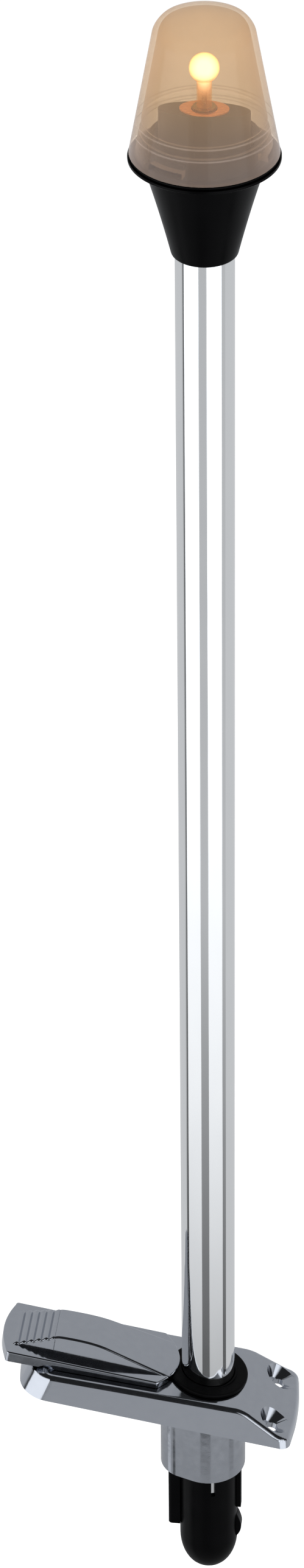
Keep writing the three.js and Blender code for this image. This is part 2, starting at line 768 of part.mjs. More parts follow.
function coverGeometry() {
  const brim = common(
    prism(coverPlan(), 20, 8).translate(0, 0, -1),
    sidePrism(brimSide(), 2 * coverHalfWidth + 4),
  );
  const hollow = block(
    [coverHollow.from, -coverHollow.halfWidth, -1],
    [coverHollow.to, coverHollow.halfWidth, coverHollow.height],
  );
  const stems = rivetSpots.map((x) => rod(stemRadius, -topSkin - running, coverHollow.height + 1, x, 0));
  const pilots = rivetSpots.map((x) => rod(rivetRadius + press, -topSkin - 1, coverHollow.height, x, 0, 12));
  const collarRoom = rod(collarRingRadius + running, -1, collarRingHeight + 2 * running, 0, 0, roundFacets);
  const shell = cut(join(brim, common(crownGeometry(), prism(coverPlan(), 20, 8))), hollow, collarRoom);
  return cut(join(shell, ...stems), ...pilots);
}

const rivetRadius = 0.9;
const springThickness = 0.3;

place('cover', coverGeometry(), chrome, slide);
const retainerTop = -topSkin - retainer.drop;
const retainerBottom = retainerTop - retainer.thickness;
rivetSpots.forEach((x, i) => {
  place(`cover_rivet_${i + 1}`, join(
    rod(rivetRadius, retainerBottom - 0.5, coverHollow.height - running, x, 0, 12),
    rod(2 * rivetRadius, retainerBottom - press - 0.8, retainerBottom - press, x, 0),
  ), steel, slide);
});
place('cover_retainer', cut(
  block(
    [retainer.from, -retainer.halfWidth, retainerBottom],
    [retainer.to, retainer.halfWidth, retainerTop],
  ),
  ...rivetSpots.map((x) => rod(rivetRadius + press, retainerBottom - 1, retainerTop + 1, x, 0, 12)),
), steel, slide);

// A thin bowed leaf between the retainer and the base drags on the base and holds the cover.
function coverSpringGeometry() {
  const leaf = new THREE.Shape();
  const half = retainer.halfWidth - 1;
  const low = retainerTop + press;
  leaf.moveTo(-half, low);
  leaf.quadraticCurveTo(0, low + 0.3, half, low);
  leaf.lineTo(half, low + springThickness);
  leaf.quadraticCurveTo(0, low + 0.3 + springThickness, -half, low + springThickness);
  const length = retainer.to - retainer.from - 2;
  const strip = prism(leaf, length, 4).rotateX(Math.PI / 2).rotateZ(Math.PI / 2)
    .translate(retainer.from + 1, 0, 0);
  return cut(strip, ...rivetSpots.map((x) => rod(stemRadius + running, low - 1, low + 2, x, 0)));
}

place('cover_spring', coverSpringGeometry(), steel, slide);

// ---- socket below the deck ----
const socketTop = slideHeight - neckDepth - seat;
const ledge = poleBottom - plugFlange - 2 * seat; // the pole stands on this
const ledgeRadius = poleBore - 0.3;
const blockTop = ledge - 2;
const blockBottom = ledge - 15;
const lowerRadius = ledgeRadius - 1.6;
const socketFloor = 3;
const keyBottom = -socketDepth + 22.5;
const ribBottom = -socketDepth + 32;
const inletRadius = 3;
const noseHeight = 16;
const gripSlot = { width: 1.6, bottom: -socketDepth + 46, turn: THREE.MathUtils.degToRad(-75) };
const latch = {
  width: 5,
  thickness: 1.5,
  top: -socketDepth + 28.5,
  bottom: -socketDepth + 16,
  reach: socketRadius + 1.7,
};

function socketGeometry() {
  const bore = poleRadius + running;
  const floor = -socketDepth + socketFloor;
  const nose = Array.from({ length: 6 }, (_, i) => {
    const angle = ((i + 1) / 6) * (Math.PI / 2);
    return [
      inletRadius + (socketRadius - inletRadius) * Math.sin(angle),
      -socketDepth + noseHeight * (1 - Math.cos(angle)),
    ];
  });
  const body = turned([
    [inletRadius, -socketDepth],
    ...nose,
    [socketRadius, socketTop],
    [bore, socketTop],
    [bore, ledge],
    [ledgeRadius, ledge],
    [ledgeRadius, blockBottom],
    [lowerRadius, blockBottom],
    [lowerRadius, floor + 3],
    [lowerRadius - 2, floor],
    [inletRadius, floor],
  ], roundFacets, true);
  const middle = (bore + socketRadius) / 2;
  const key = block([-keyReach, -keyHalfWidth, keyBottom], [-middle, keyHalfWidth, keyTop]);
  const rib = block([middle, -ribHalfWidth, ribBottom], [ribReach, ribHalfWidth, keyTop]);
  const slot = block([0, -gripSlot.width / 2, gripSlot.bottom], [socketRadius + 1, gripSlot.width / 2, 20])
    .rotateZ(gripSlot.turn);
  const latchSeat = block(
    [socketRadius - latch.thickness, -latch.width / 2 - press, latch.bottom - press],
    [socketRadius + 3, latch.width / 2 + press, latch.top + press],
  );
  return cut(join(body, cut(join(key, rib), rod(bore, ledge, 20, 0, 0, roundFacets))), slot, latchSeat);
}

function latchGeometry() {
  const side = new THREE.Shape();
  const back = socketRadius - latch.thickness + press;
  const tall = latch.top - latch.bottom;
  side.moveTo(back, latch.bottom);
  side.lineTo(socketRadius, latch.bottom);
  const { reach } = latch;
  side.quadraticCurveTo(reach + 1.2, latch.bottom + 0.3 * tall, reach - 0.4, latch.top - 0.3 * tall);
  side.quadraticCurveTo(socketRadius + 0.6, latch.top - 0.1 * tall, socketRadius - 0.2, latch.top);
  side.lineTo(back, latch.top);
  return sidePrism(side, latch.width, 5);
}

const sleeveInner = pinRadius + running;
const sleeveOuter = sleeveInner + 0.8;
const sleeveBase = blockBottom + 2.5;

function contactBlockGeometry() {
  const body = rod(ledgeRadius - press, blockBottom, blockTop, 0, 0, roundFacets);
  const holes = [-1, 1].map((side) => (
    rod(sleeveOuter + press, sleeveBase, blockTop + 1, 0, side * pinOffset)
  ));
  const tails = [-1, 1].map((side) => rod(1.1, blockBottom - 1, sleeveBase + 1, 0, side * pinOffset, 12));
  return cut(body, ...holes, ...tails);
}

place('socket_body', socketGeometry(), blackPlastic);
place('socket_latch', latchGeometry(), blackPlastic);
place('contact_block', contactBlockGeometry(), phenolic);
['live', 'return'].forEach((name, i) => {
  const y = (i ? 1 : -1) * pinOffset;
  const sleeve = turned([
    [0, sleeveBase + press],
    [sleeveOuter, sleeveBase + press],
    [sleeveOuter, blockTop - 0.4],
    [sleeveInner, blockTop - 0.4],
    [sleeveInner, sleeveBase + 1],
    [0, sleeveBase + 1],
  ], 20).translate(0, y, 0);
  const tail = rod(1, blockBottom - 3, sleeveBase + 0.5, 0, y, 12);
  place(`contact_sleeve_${name}`, join(sleeve, tail), brass);
});

export default object;
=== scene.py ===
import bpy
import bmesh
import json
from math import acos, asin, atan, cos, pi, radians, sin, tan
from mathutils import Matrix, Vector


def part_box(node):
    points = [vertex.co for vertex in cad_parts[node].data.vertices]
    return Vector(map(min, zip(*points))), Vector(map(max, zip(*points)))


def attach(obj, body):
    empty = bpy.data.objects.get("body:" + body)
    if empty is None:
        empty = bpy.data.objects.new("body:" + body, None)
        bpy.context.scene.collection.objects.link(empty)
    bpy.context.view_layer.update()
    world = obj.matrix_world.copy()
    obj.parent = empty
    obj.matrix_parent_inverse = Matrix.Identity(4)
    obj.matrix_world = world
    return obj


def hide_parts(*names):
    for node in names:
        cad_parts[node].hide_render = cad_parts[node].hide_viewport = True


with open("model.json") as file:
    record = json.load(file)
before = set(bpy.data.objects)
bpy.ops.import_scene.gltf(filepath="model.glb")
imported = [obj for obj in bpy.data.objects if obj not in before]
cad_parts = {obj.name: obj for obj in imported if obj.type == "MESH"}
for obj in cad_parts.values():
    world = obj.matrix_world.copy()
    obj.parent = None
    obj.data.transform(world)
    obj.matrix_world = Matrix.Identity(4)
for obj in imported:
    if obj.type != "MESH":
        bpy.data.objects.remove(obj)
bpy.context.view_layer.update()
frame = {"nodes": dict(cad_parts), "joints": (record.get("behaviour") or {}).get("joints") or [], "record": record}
collection = bpy.context.scene.collection
mm = 0.001  # pieces are modelled in millimetres and finished in metres


# the CAD pieces' own corners, in millimetres
def nodeBox(node):
    low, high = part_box(node)
    return low / mm, high / mm


poleLow, poleHigh = nodeBox("pole_tube")
globeLow, globeHigh = nodeBox("globe")
housingLow = nodeBox("lamp_housing")[0]
pedestalLow, pedestalHigh = nodeBox("lamp_pedestal")
glassLow, glassHigh = nodeBox("bulb_glass")
sealLow, sealHigh = nodeBox("globe_seal")
plateLow, plateHigh = nodeBox("lamp_plate")
capHigh = nodeBox("bulb_cap")[1]
socketLow, socketHigh = nodeBox("socket_body")
poleRadius = poleHigh.x
sealRise = 1.8  # from the underside of the housing's lip to the seal
headZero = sealLow.z - sealRise  # the lamp's pieces are drawn from the lip's underside, then raised
slideAxis = next(joint["axis"] for joint in frame["joints"] if joint["name"] == "cover_slide")
slideTilt = atan(-slideAxis[2] / slideAxis[0])
underside = next(mount for mount in frame["record"]["mounts"] if mount["name"] == "base_underside")
deckRake = atan(underside["axis"][0] / underside["axis"][2])
topSlope = deckRake - slideTilt

# ---------- camera ----------
camera = bpy.data.objects.new("camera", bpy.data.cameras.new("camera"))
camera.data.lens = 129.62
camera.data.sensor_width = 36
camera.data.clip_end = 50
cameraRight = Vector((0.99319, 0.11624, -0.00812))
cameraUp = Vector((-0.05990, 0.56911, 0.82007))
cameraBack = cameraRight.cross(cameraUp)
turn = Matrix((cameraRight, cameraUp, cameraBack)).transposed().to_4x4()
camera.matrix_world = Matrix.Translation((0.19968, -1.80110, 1.58047)) @ turn
collection.objects.link(camera)
bpy.context.scene.camera = camera


# ---------- material helpers ----------
def hexColour(text):
    parts = [int(text[i:i + 2], 16) / 255 for i in (1, 3, 5)]
    linear = [c / 12.92 if c <= 0.04045 else ((c + 0.055) / 1.055) ** 2.4 for c in parts]
    return (*linear, 1)


def addNode(tree, kind, sockets=None, **settings):
    node = tree.nodes.new(kind)
    for name, value in settings.items():
        setattr(node, name, value)
    for name, value in (sockets or {}).items():
        if isinstance(value, bpy.types.NodeSocket):
            tree.links.new(value, node.inputs[name])
        else:
            node.inputs[name].default_value = value
    return node


def startMaterial(name):
    material = bpy.data.materials.new(name)
    material.use_nodes = True
    tree = material.node_tree
    tree.nodes.clear()
    output = addNode(tree, "ShaderNodeOutputMaterial")
    place = addNode(tree, "ShaderNodeTexCoord").outputs["Object"]
    return material, tree, output, place


def stretched(tree, place, sizes):
    scale = [1 / (size * mm) for size in sizes]
    return addNode(tree, "ShaderNodeMapping", {"Vector": place, "Scale": scale}).outputs[0]


def noise(tree, place, sizes, detail=3.0):
    sockets = {"Vector": stretched(tree, place, sizes), "Scale": 1.0, "Detail": detail}
    return addNode(tree, "ShaderNodeTexNoise", sockets).outputs["Fac"]


def between(tree, factor, low, high, start=0.3, end=0.7):
    sockets = {"Value": factor, "From Min": start, "From Max": end, "To Min": low, "To Max": high}
    return addNode(tree, "ShaderNodeMapRange", sockets).outputs[0]


def colourMix(tree, factor, first, second):
    mix = addNode(tree, "ShaderNodeMix", data_type="RGBA")
    mix.inputs[6].default_value = hexColour(first)
    mix.inputs[7].default_value = hexColour(second)
    tree.links.new(factor, mix.inputs[0])
    return mix.outputs[2]


def bump(tree, height, depth, strength=1.0):
    sockets = {"Height": height, "Distance": depth * mm, "Strength": strength}
    return addNode(tree, "ShaderNodeBump", sockets).outputs[0]


def principled(tree, output, sockets):
    shader = addNode(tree, "ShaderNodeBsdfPrincipled", sockets)
    tree.links.new(shader.outputs[0], output.inputs["Surface"])


# ---------- materials ----------
# the globe's sizes stand here because its material paints highlights on the edges of its bead
globe = {
    "wall": 2.2, "shoulderRadius": 18.4, "shoulderDrop": 6.2, "fillet": 2.4, "shoulderRise": 2.4,
    "beadLow": 12.2, "beadHigh": 16.6, "beadDepth": 0.5, "beadSlope": 0.7,
    "lugInner": 20.9, "lugOuter": 25.6, "lugHeights": (3.6, 6.2),
}


# Nickel-chrome plate on a zinc die-casting, buffed by hand: a slightly grey mirror with a faint ripple.
def platedZinc():
    material, tree, output, place = startMaterial("platedZinc")
    ripple = noise(tree, place, (9, 9, 9), 2)
    buffing = noise(tree, place, (0.5, 0.9, 0.5), 4)  # coarser than real buffing marks, so that they show
    haze = noise(tree, place, (4, 4, 4), 4)
    first = bump(tree, ripple, 0.06)
    second = addNode(tree, "ShaderNodeBump", {
        "Height": buffing, "Distance": 0.006 * mm, "Strength": 1.0, "Normal": first}).outputs[0]
    principled(tree, output, {
        "Base Color": colourMix(tree, haze, "#B7BBC3", "#C1C5CC"),
        "Metallic": 1.0, "Roughness": between(tree, haze, 0.07, 0.15), "Normal": second})
    return material


# Polished stainless tube: long drawing marks along it, almost a mirror.
def polishedTube():
    material, tree, output, place = startMaterial("polishedTube")
    marks = noise(tree, place, (0.6, 0.6, 60), 3)  # drawn wider than the real marks, so that they show
    soft = noise(tree, place, (8, 8, 30), 2)
    principled(tree, output, {
        "Base Color": colourMix(tree, soft, "#F1F2F3", "#F7F8F8"),
        "Metallic": 1.0, "Roughness": between(tree, soft, 0.04, 0.08),
        "Normal": bump(tree, marks, 0.004)})
    return material


# Moulded black nylon with a fine eroded texture: a deep black that mirrors almost nothing.
def mouldedNylon():
    material, tree, output, place = startMaterial("mouldedNylon")
    grain = noise(tree, place, (0.45, 0.45, 0.45), 3)
    cloud = noise(tree, place, (12, 12, 12), 3)
    principled(tree, output, {
        "Base Color": colourMix(tree, cloud, "#010101", "#020203"),
        "Roughness": between(tree, cloud, 0.26, 0.36), "Specular IOR Level": 0.05,
        "Normal": bump(tree, grain, 0.01)})
    return material


# Moulded black ABS of the lamp pedestal, glossier; its base colour is painted a warm grey for the bulb's light
# above it.
def glossAbs():
    material, tree, output, place = startMaterial("glossAbs")
    cloud = noise(tree, place, (6, 6, 6), 3)
    principled(tree, output, {
        "Base Color": colourMix(tree, cloud, "#3A3836", "#484542"),
        "Roughness": between(tree, cloud, 0.34, 0.44), "Specular IOR Level": 0.5,
        "Normal": bump(tree, cloud, 0.02)})
    return material


# Black EPDM rubber: dark, matt, slightly dusty.
def blackRubber():
    material, tree, output, place = startMaterial("blackRubber")
    dust = noise(tree, place, (3, 3, 3), 4)
    grain = noise(tree, place, (0.35, 0.35, 0.35), 2)
    principled(tree, output, {
        "Base Color": colourMix(tree, dust, "#010101", "#040405"),
        "Roughness": between(tree, dust, 0.4, 0.55), "Specular IOR Level": 0.08,
        "Normal": bump(tree, grain, 0.015)})
    return material


# Clear moulded acrylic: it lets most light through, and its amber haze thickens where the wall is seen on edge.
# Towards the top it turns warmer and glows faintly, which is painted light from the bulb behind it, and the two
# edges of the bead carry painted highlights.
def acrylicWithPaintedBulbLight():
    material, tree, output, place = startMaterial("acrylicWithPaintedBulbLight")
    height = addNode(tree, "ShaderNodeSeparateXYZ", {"Vector": place}).outputs["Z"]
    rise = between(tree, height, 0.0, 1.0, (globeLow.z + 2) * mm, (globeLow.z + 30) * mm)
    streak = noise(tree, place, (5, 5, 90), 2)  # flow lines of the moulding
    # the haze colour turns warmer towards the top: painted light from the bulb
    haze = colourMix(tree, rise, "#A0928C", "#AD9379")
    # painted glow: the bulb's light in the wall, stronger towards the top
    glow = between(tree, rise, 0.015, 0.1, 0.0, 1.0)
    solid = addNode(tree, "ShaderNodeBsdfPrincipled", {
        "Base Color": haze, "Roughness": 0.1, "IOR": 1.49, "Emission Color": hexColour("#E8C090"),
        "Emission Strength": glow, "Normal": bump(tree, streak, 0.006)})
    clear = addNode(tree, "ShaderNodeBsdfTransparent", {"Color": hexColour("#FAF2E6")})
    facing = addNode(tree, "ShaderNodeLayerWeight", {"Blend": 0.5}).outputs["Facing"]
    slant = addNode(tree, "ShaderNodeMath", {0: facing, 1: 2.2}, operation="POWER").outputs[0]
    cover = between(tree, slant, 0.19, 0.9, 0.0, 1.0)
    # painted highlights: thin rings at the two edges of the bead, where the wall turns more solid and glowing
    for ledge in (globe["beadLow"], globe["beadHigh"]):
        level = (headZero + ledge) * mm
        offset = addNode(tree, "ShaderNodeMath", {0: height, 1: level}, operation="SUBTRACT").outputs[0]
        away = addNode(tree, "ShaderNodeMath", {0: offset}, operation="ABSOLUTE").outputs[0]
        paintedBeadHighlight = between(tree, away, 0.22, 0.0, 0.1 * mm, 0.5 * mm)
        cover = addNode(tree, "ShaderNodeMath", {0: cover, 1: paintedBeadHighlight}, operation="ADD").outputs[0]
    mix = addNode(tree, "ShaderNodeMixShader", {0: cover, 1: clear.outputs[0], 2: solid.outputs[0]})
    tree.links.new(mix.outputs[0], output.inputs["Surface"])
    return material


# Soda-lime bulb glass, lit from inside: brightest in the middle of the round, and it fades to clear
# amber down the neck and at the outline.
def litBulbGlass():
    material, tree, output, place = startMaterial("litBulbGlass")
    height = addNode(tree, "ShaderNodeSeparateXYZ", {"Vector": place}).outputs["Z"]
    neck = between(tree, height, 0.0, 1.0, (glassLow.z + 4) * mm, (glassLow.z + 13) * mm)
    edge = addNode(tree, "ShaderNodeLayerWeight", {"Blend": 0.5}).outputs["Facing"]
    inside = between(tree, edge, 1.0, 0.0, 0.1, 0.95)
    lit = addNode(tree, "ShaderNodeMath", {0: inside, 1: neck}, operation="MULTIPLY").outputs[0]
    solid = addNode(tree, "ShaderNodeBsdfPrincipled", {
        "Base Color": colourMix(tree, neck, "#B5703C", "#FFF4DC"), "Roughness": 0.05, "IOR": 1.52,
        "Emission Color": colourMix(tree, lit, "#F09A3C", "#FFF4D2"),
        "Emission Strength": between(tree, lit, 0.35, 1.8, 0.0, 1.0)})
    clear = addNode(tree, "ShaderNodeBsdfTransparent", {"Color": hexColour("#FFF6E4")})
    cover = between(tree, lit, 0.18, 0.92, 0.0, 0.8)
    mix = addNode(tree, "ShaderNodeMixShader", {0: cover, 1: clear.outputs[0], 2: solid.outputs[0]})
    tree.links.new(mix.outputs[0], output.inputs["Surface"])
    return material


# Half-hard copper sheet, rolled; its orange is deepened and it glows with painted light from the bulb.
def rolledCopper():
    material, tree, output, place = startMaterial("rolledCopper")
    rolled = noise(tree, place, (6, 0.4, 1), 3)
    principled(tree, output, {
        "Base Color": colourMix(tree, rolled, "#D98A55", "#F0AA72"), "Metallic": 1.0,
        "Emission Color": hexColour("#E08A4C"), "Emission Strength": 0.35,  # painted glow: the bulb's light on it
        "Roughness": between(tree, rolled, 0.22, 0.36), "Normal": bump(tree, rolled, 0.01)})
    return material


# Turned or pressed brass, a little dull.
def turnedBrass():
    material, tree, output, place = startMaterial("turnedBrass")
    tarnish = noise(tree, place, (2.5, 2.5, 2.5), 4)
    rings = noise(tree, place, (2, 2, 0.15), 2)
    principled(tree, output, {
        "Base Color": colourMix(tree, tarnish, "#B08A48", "#D2AE66"), "Metallic": 1.0,
        "Roughness": between(tree, tarnish, 0.22, 0.4), "Normal": bump(tree, rings, 0.006)})
    return material


# Plain stainless steel of screws, rivets and springs, tumbled bright.
def tumbledSteel():
    material, tree, output, place = startMaterial("tumbledSteel")
    dents = noise(tree, place, (0.6, 0.6, 0.6), 3)
    principled(tree, output, {
        "Base Color": colourMix(tree, dents, "#B4B6B8", "#CBCDCF"), "Metallic": 1.0,
        "Roughness": between(tree, dents, 0.2, 0.34), "Normal": bump(tree, dents, 0.008)})
    return material


# Tungsten wire at white heat.
def hotTungsten():
    material, tree, output, place = startMaterial("hotTungsten")
    hot = noise(tree, place, (0.5, 0.5, 0.5), 2)
    principled(tree, output, {
        "Base Color": hexColour("#FFF2CC"), "Roughness": 0.5,
        "Emission Color": hexColour("#FFF0C4"), "Emission Strength": between(tree, hot, 5.0, 7.0)})
    return material


# Brown phenolic moulding, filled with wood flour: a faint mottle.
def phenolic():
    material, tree, output, place = startMaterial("phenolic")
    flour = noise(tree, place, (0.8, 0.8, 0.8), 5)
    principled(tree, output, {
        "Base Color": colourMix(tree, flour, "#33201A", "#4A3026"),
        "Roughness": between(tree, flour, 0.35, 0.5), "Normal": bump(tree, flour, 0.01)})
    return material


# PVC wire insulation, slightly matt from its extruder.
def wireInsulation(name, dark, light):
    material, tree, output, place = startMaterial(name)
    die = noise(tree, place, (0.4, 0.4, 20), 3)
    principled(tree, output, {
        "Base Color": colourMix(tree, die, dark, light),
        "Roughness": between(tree, die, 0.38, 0.5), "Normal": bump(tree, die, 0.01)})
    return material


finishes = {
    "chrome": platedZinc(),
    "polished_tube": polishedTube(),
    "black_plastic": mouldedNylon(),
    "gloss_black": glossAbs(),
    "black_rubber": blackRubber(),
    "globe_plastic": acrylicWithPaintedBulbLight(),
    "clear_glass": litBulbGlass(),
    "copper": rolledCopper(),
    "brass": turnedBrass(),
    "steel": tumbledSteel(),
    "tungsten": hotTungsten(),
    "phenolic": phenolic(),
    "red_wire": wireInsulation("redInsulation", "#7A1410", "#94211B"),
    "black_wire": wireInsulation("blackInsulation", "#101012", "#1C1C1F"),
}
print("materials made")


# ---------- modelling helpers ----------
def lathe(profile, steps=96, closed=True):
    bm = bmesh.new()
    verts = [bm.verts.new((radius, 0, height)) for radius, height in profile]
    edges = [bm.edges.new(pair) for pair in zip(verts, verts[1:])]
    if closed:
        edges.append(bm.edges.new((verts[-1], verts[0])))
    bmesh.ops.spin(bm, geom=verts + edges, cent=(0, 0, 0), axis=(0, 0, 1), dvec=(0, 0, 0),
                   angle=2 * pi, steps=steps, use_merge=True)
    return bm


# corners are (x, y) or (x, y, rounding)
def prism(corners, bottom, top, segments=8):
    bm = bmesh.new()
    verts = [bm.verts.new((corner[0], corner[1], bottom)) for corner in corners]
    bm.faces.new(verts)
    for vert, corner in zip(verts, corners):
        if len(corner) > 2:
            bmesh.ops.bevel(bm, geom=[vert], offset=corner[2], segments=segments, profile=0.5,
                            affect="VERTICES", material=-1, clamp_overlap=False)
    raised = bmesh.ops.extrude_face_region(bm, geom=bm.faces[:])
    lifted = [item for item in raised["geom"] if isinstance(item, bmesh.types.BMVert)]
    bmesh.ops.translate(bm, verts=lifted, vec=(0, 0, top - bottom))
    return bm


# corners in X and Z, made as wide as asked about the middle
def sidePrism(corners, width, segments=6):
    bm = prism(corners, -width / 2, width / 2, segments)
    bmesh.ops.rotate(bm, verts=bm.verts, cent=(0, 0, 0), matrix=Matrix.Rotation(pi / 2, 3, "X"))
    return bm


def cylinder(radius, bottom, top, x=0, y=0, segments=64, topRadius=None):
    bm = bmesh.new()
    centre = Matrix.Translation((x, y, (bottom + top) / 2))
    bmesh.ops.create_cone(bm, cap_ends=True, segments=segments, radius1=radius,
                          radius2=radius if topRadius is None else topRadius,
                          depth=top - bottom, matrix=centre)
    return bm


def brick(low, high):
    bm = bmesh.new()
    size = [b - a for a, b in zip(low, high)]
    middle = [(a + b) / 2 for a, b in zip(low, high)]
    bmesh.ops.create_cube(bm, size=1, matrix=Matrix.Translation(middle) @ Matrix.Diagonal((*size, 1)))
    return bm


def moved(bm, matrix):
    bmesh.ops.transform(bm, verts=bm.verts, matrix=matrix)
    return bm


def asObject(name, bm):
    bmesh.ops.remove_doubles(bm, verts=bm.verts, dist=0.0005)
    bmesh.ops.recalc_face_normals(bm, faces=bm.faces)
    mesh = bpy.data.meshes.new(name)
    bm.to_mesh(mesh)
    bm.free()
    obj = bpy.data.objects.new(name, mesh)
    collection.objects.link(obj)
    return obj


# each step is (operation, bmesh): UNION, DIFFERENCE or INTERSECT
def worked(name, bm, *steps):
    obj = asObject(name, bm)
    for i, (operation, toolMesh) in enumerate(steps):
        tool = asObject(f"tool{i}", toolMesh)
        modifier = obj.modifiers.new("combine", "BOOLEAN")
        modifier.operation = operation
        modifier.object = tool
        modifier.solver = "MANIFOLD"
        graph = bpy.context.evaluated_depsgraph_get()
        result = bpy.data.meshes.new_from_object(obj.evaluated_get(graph))
        obj.modifiers.clear()
        bpy.data.objects.remove(tool)
        obj.data = result
    return obj


def backToBmesh(obj):
    bm = bmesh.new()
    bm.from_mesh(obj.data)
    bpy.data.objects.remove(obj)
    return bm


def rounded(bm, width, segments, wanted):
    bmesh.ops.dissolve_limit(bm, angle_limit=radians(0.5), verts=bm.verts, edges=bm.edges)
    bmesh.ops.remove_doubles(bm, verts=bm.verts, dist=0.05)
    bm.normal_update()
    edges = [edge for edge in bm.edges if len(edge.link_faces) == 2 and wanted(edge)]
    bmesh.ops.bevel(bm, geom=edges, offset=width, segments=segments, profile=0.5,
                    affect="EDGES", material=-1, clamp_overlap=False)
    return bm


def sharp(edge, least=radians(35)):
    return edge.calc_face_angle(0) > least


# millimetres to metres, smooth shading that leaves flat faces flat, and where the piece belongs
def finish(obj, name, body, finishName, replaces=(), edge=0.0, segments=3):
    obj.name = name
    obj.data.transform(Matrix.Scale(mm, 4))
    obj.data.materials.clear()
    obj.data.materials.append(finishes[finishName])
    if edge:
        modifier = obj.modifiers.new("softEdges", "BEVEL")
        modifier.width = edge * mm
        modifier.segments = segments
        modifier.limit_method = "ANGLE"
        modifier.angle_limit = radians(35)
        modifier.material = -1
    obj.data.shade_smooth()
    obj.data.set_sharp_from_angle(angle=radians(35))
    weighted = obj.modifiers.new("flatFaces", "WEIGHTED_NORMAL")
    weighted.keep_sharp = True
    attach(obj, body)
    if replaces:
        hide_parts(*replaces)
    return obj


# a smooth quarter turn from one profile point to another, bulging towards the corner between them
def quarter(start, corner, end, steps=6):
    points = []
    for i in range(steps + 1):
        t = i / steps
        points.append(tuple(
            (1 - t) ** 2 * a + 2 * t * (1 - t) * b + t * t * c
            for a, b, c in zip(start, corner, end)))
    return points


# ---------- pole ----------
pole = {"wall": 1.2, "endRounding": 0.3}


def makePole():
    bore = poleRadius - pole["wall"]
    profile = [(bore, poleLow.z), (poleRadius, poleLow.z), (poleRadius, poleHigh.z), (bore, poleHigh.z)]
    obj = asObject("poleTube", lathe(profile, 128))
    finish(obj, "poleTube", "pole", "polished_tube", replaces=["pole_tube"], edge=pole["endRounding"])


makePole()
print("pole made")

# ---------- lamp housing ----------
housing = {
    "neckRadius": 12.6, "shoulderRadius": 22.4, "lipRadius": 28.1, "lipThickness": 1.5,
    "collarRadius": 20.6, "collarWall": 1.8, "collarHeight": 9.2, "cupFloor": -7.0,
    "poleSocketTop": -13.5, "cableHole": 5.0, "mouthRounding": 1.6, "flarePull": (17.2, -18.5),
    "lipPull": (22.9, -0.1), "lipStart": (25, 0), "poleGap": 0.1,
    "lugCount": 3, "lugSpan": radians(34), "lugHeights": (6.6, 9.0), "lugReach": 2.0,
    "screwRise": 13.8, "screwHead": 2.5, "screwSeat": 14.6,
}


def lugPiece(inner, outer, heights, turn):
    half = housing["lugSpan"] / 2
    low, high = heights
    bm = bmesh.new()
    section = [(inner, low), (outer, low), (outer, high), (inner, high)]
    verts = [bm.verts.new((r * cos(turn - half), r * sin(turn - half), z)) for r, z in section]
    face = bm.faces.new(verts)
    bmesh.ops.spin(bm, geom=[face], cent=(0, 0, 0), axis=(0, 0, 1), dvec=(0, 0, 0),
                   angle=2 * half, steps=10)
    return bm


def lugTurns():
    return [i / housing["lugCount"] * 2 * pi for i in range(housing["lugCount"])]


def makeHousing():
    h = housing
    bottom = housingLow.z - headZero
    bore = poleRadius + h["poleGap"]
    cup = h["collarRadius"] - h["collarWall"]
    outside = quarter((h["neckRadius"], bottom + 1), h["flarePull"], (h["shoulderRadius"], -2), 12)
    mouth = (h["neckRadius"] - h["mouthRounding"], bottom)
    profile = [
        (bore, bottom), *quarter(mouth, (h["neckRadius"] - 0.2, bottom), outside[0], 4)[:-1],
        *outside, *quarter(outside[-1], h["lipPull"], h["lipStart"], 4)[1:],
        (h["lipRadius"] - 0.5, 0.1), (h["lipRadius"], 0.5), (h["lipRadius"], h["lipThickness"]),
        (h["collarRadius"], h["lipThickness"]), (h["collarRadius"], h["collarHeight"]),
        (cup, h["collarHeight"]), (cup, h["cupFloor"]), (h["cableHole"], h["cupFloor"]),
        (h["cableHole"], h["poleSocketTop"]), (bore, h["poleSocketTop"]),
    ]
    inner = h["collarRadius"] - 0.5
    outer = h["collarRadius"] + h["lugReach"]
    lugs = [("UNION", lugPiece(inner, outer, h["lugHeights"], turn)) for turn in lugTurns()]
    seat = moved(cylinder(h["screwHead"], 0, h["lipRadius"], segments=32), Matrix.Rotation(-pi / 2, 4, "X"))
    moved(seat, Matrix.Translation((0, h["screwSeat"], bottom + h["screwRise"])))
    obj = worked("lampHousing", lathe(profile), *lugs, ("DIFFERENCE", seat))
    obj.data.transform(Matrix.Translation((0, 0, headZero)))
    finish(obj, "lampHousing", "pole", "black_plastic", replaces=["lamp_housing"], edge=0.25)


makeHousing()
print("lamp housing made")

# ---------- globe and its seal ----------
seal = {"collarGap": 1.0, "edge": 0.3}


def makeGlobe():
    g = globe
    radius = globeHigh.x
    bottom = globeLow.z - headZero
    top = globeHigh.z - headZero
    shoulder = top - g["shoulderDrop"]
    taper = (radius - g["shoulderRadius"]) / (shoulder - bottom)

    def wallAt(height, inset=0.0):
        return (radius - taper * (height - bottom) - inset, height)

    def dome(inset):
        start = wallAt(shoulder - g["fillet"], inset)
        edge = (g["shoulderRadius"] - g["fillet"] - inset / 2, shoulder + g["shoulderRise"] - inset / 2)
        crown = quarter(edge, (edge[0] / 2, top - inset), (0, top - inset), 10)
        return quarter(start, (g["shoulderRadius"] - inset, shoulder), edge, 8) + crown[1:]

    depth = g["wall"] + g["beadDepth"]
    bead = [wallAt(g["beadHigh"], g["wall"]), wallAt(g["beadHigh"] - g["beadSlope"], depth),
            wallAt(g["beadLow"] + g["beadSlope"], depth), wallAt(g["beadLow"], g["wall"])]
    profile = [(radius, bottom), *dome(0), *dome(g["wall"])[::-1], *bead, (radius - g["wall"], bottom)]
    lugs = [("UNION", lugPiece(g["lugInner"], g["lugOuter"], g["lugHeights"], turn)) for turn in lugTurns()]
    obj = worked("globe", lathe(profile, 128), *lugs)
    obj.data.transform(Matrix.Translation((0, 0, headZero)))
    finish(obj, "clearGlobe", "globe", "globe_plastic", replaces=["globe"], edge=0.15)


